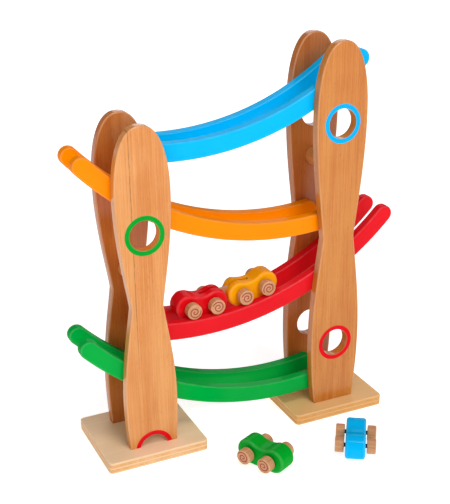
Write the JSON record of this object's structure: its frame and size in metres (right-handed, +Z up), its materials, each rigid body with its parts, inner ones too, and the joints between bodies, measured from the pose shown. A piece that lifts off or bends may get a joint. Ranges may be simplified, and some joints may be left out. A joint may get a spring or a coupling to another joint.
{
  "type": "click clack track toy",
  "caption": "Wooden ramp toy: two towers of waisted boards on plates carry curved two-rail tracks that zig-zag down between them, with a coupled train and loose cars.",
  "frame": {"origin": "centre of the left base plate's underside, on the floor", "axes": "+X towards the right tower, +Z up, and -Y is the front, where the loose cars stand"},
  "size_m": [0.3917, 0.2179, 0.4525],
  "materials": {
    "plywood": "clear lacquered plywood",
    "board_wood": "clear lacquered solid wood",
    "pale_wood": "plain turned wood",
    "screw_steel": "zinc plated",
    "axle_steel": "black",
    "blue_lacquer": "gloss lacquer on wood",
    "orange_lacquer": "gloss lacquer on wood",
    "red_lacquer": "gloss lacquer on wood",
    "green_lacquer": "gloss lacquer on wood",
    "yellow_lacquer": "gloss lacquer on wood"
  },
  "bodies": {
    "stand": {"left_base_plate": "plywood", "right_base_plate": "plywood", "left_front_board": "board_wood", "left_rear_board": "board_wood", "right_front_board": "board_wood", "right_rear_board": "board_wood", "left_tie_dowel": "board_wood", "right_tie_dowel": "board_wood", "base_screws": "screw_steel", "rail_pins": "pale_wood", "blue_front_rail": "blue_lacquer", "blue_rear_rail": "blue_lacquer", "orange_front_rail": "orange_lacquer", "orange_rear_rail": "orange_lacquer", "red_front_rail": "red_lacquer", "red_rear_rail": "red_lacquer", "green_front_rail": "green_lacquer", "green_rear_rail": "green_lacquer"},
    "red_car": {"red_car_body": "red_lacquer"},
    "red_front_wheelset": {"red_front_axle": "axle_steel", "red_front_left_wheel": "pale_wood", "red_front_right_wheel": "pale_wood"},
    "red_rear_wheelset": {"red_rear_axle": "axle_steel", "red_rear_left_wheel": "pale_wood", "red_rear_right_wheel": "pale_wood"},
    "yellow_car": {"yellow_car_body": "yellow_lacquer"},
    "yellow_front_wheelset": {"yellow_front_axle": "axle_steel", "yellow_front_left_wheel": "pale_wood", "yellow_front_right_wheel": "pale_wood"},
    "yellow_rear_wheelset": {"yellow_rear_axle": "axle_steel", "yellow_rear_left_wheel": "pale_wood", "yellow_rear_right_wheel": "pale_wood"},
    "green_car": {"green_car_body": "green_lacquer"},
    "green_front_wheelset": {"green_front_axle": "axle_steel", "green_front_left_wheel": "pale_wood", "green_front_right_wheel": "pale_wood"},
    "green_rear_wheelset": {"green_rear_axle": "axle_steel", "green_rear_left_wheel": "pale_wood", "green_rear_right_wheel": "pale_wood"},
    "blue_car": {"blue_car_body": "blue_lacquer"},
    "blue_front_wheelset": {"blue_front_axle": "axle_steel", "blue_front_left_wheel": "pale_wood", "blue_front_right_wheel": "pale_wood"},
    "blue_rear_wheelset": {"blue_rear_axle": "axle_steel", "blue_rear_left_wheel": "pale_wood", "blue_rear_right_wheel": "pale_wood"},
    "link": {"coupling_link": "pale_wood"}
  },
  "joints": [
    {"name": "train_travel", "type": "hinge", "parent": "stand", "child": "red_car", "pos_m": [0.0711, 0, 0.4716], "axis": [0, -1, 0], "range_deg": [-5.5, 26]},
    {"name": "red_front_wheels_turn", "type": "hinge", "parent": "red_car", "child": "red_front_wheelset", "pos_m": [0.06102, 0, 0.16236], "axis": [0, 1, 0], "continuous": true},
    {"name": "red_rear_wheels_turn", "type": "hinge", "parent": "red_car", "child": "red_rear_wheelset", "pos_m": [0.08981, 0, 0.16277], "axis": [0, 1, 0], "continuous": true},
    {"name": "link_lift", "type": "hinge", "parent": "red_car", "child": "link", "pos_m": [0.08981, 0, 0.16277], "axis": [0, -1, 0], "range_deg": [0, 12]},
    {"name": "yellow_lift", "type": "hinge", "parent": "link", "child": "yellow_car", "pos_m": [0.12615, 0, 0.16714], "axis": [0, -1, 0], "range_deg": [0, 10]},
    {"name": "yellow_front_wheels_turn", "type": "hinge", "parent": "yellow_car", "child": "yellow_front_wheelset", "pos_m": [0.12615, 0, 0.16714], "axis": [0, 1, 0], "continuous": true},
    {"name": "yellow_rear_wheels_turn", "type": "hinge", "parent": "yellow_car", "child": "yellow_rear_wheelset", "pos_m": [0.15422, 0, 0.17358], "axis": [0, 1, 0], "continuous": true},
    {"name": "green_slide", "type": "slide", "parent": "stand", "child": "green_car", "axis": [0.4431, -0.8965, 0], "range_m": [-0.03, 0.03]},
    {"name": "green_front_wheels_turn", "type": "hinge", "parent": "green_car", "child": "green_front_wheelset", "pos_m": [0.11278, -0.12391, 0.0139], "axis": [0.8965, 0.4431, 0], "continuous": true},
    {"name": "green_rear_wheels_turn", "type": "hinge", "parent": "green_car", "child": "green_rear_wheelset", "pos_m": [0.10002, -0.09809, 0.0139], "axis": [0.8965, 0.4431, 0], "continuous": true},
    {"name": "blue_slide", "type": "slide", "parent": "stand", "child": "blue_car", "axis": [-0.5402, -0.8415, 0], "range_m": [-0.03, 0.03]},
    {"name": "blue_front_wheels_turn", "type": "hinge", "parent": "blue_car", "child": "blue_front_wheelset", "pos_m": [0.20632, -0.14202, 0.0139], "axis": [0.8415, -0.5402, 0], "continuous": true},
    {"name": "blue_rear_wheels_turn", "type": "hinge", "parent": "blue_car", "child": "blue_rear_wheelset", "pos_m": [0.22188, -0.11778, 0.0139], "axis": [0.8415, -0.5402, 0], "continuous": true}
  ],
  "couplings": [
    {"joint": "red_front_wheels_turn", "follows": "train_travel", "ratio": 35.798},
    {"joint": "red_rear_wheels_turn", "follows": "train_travel", "ratio": 35.798},
    {"joint": "yellow_front_wheels_turn", "follows": "train_travel", "ratio": 35.798},
    {"joint": "yellow_rear_wheels_turn", "follows": "train_travel", "ratio": 35.798}
  ]
}
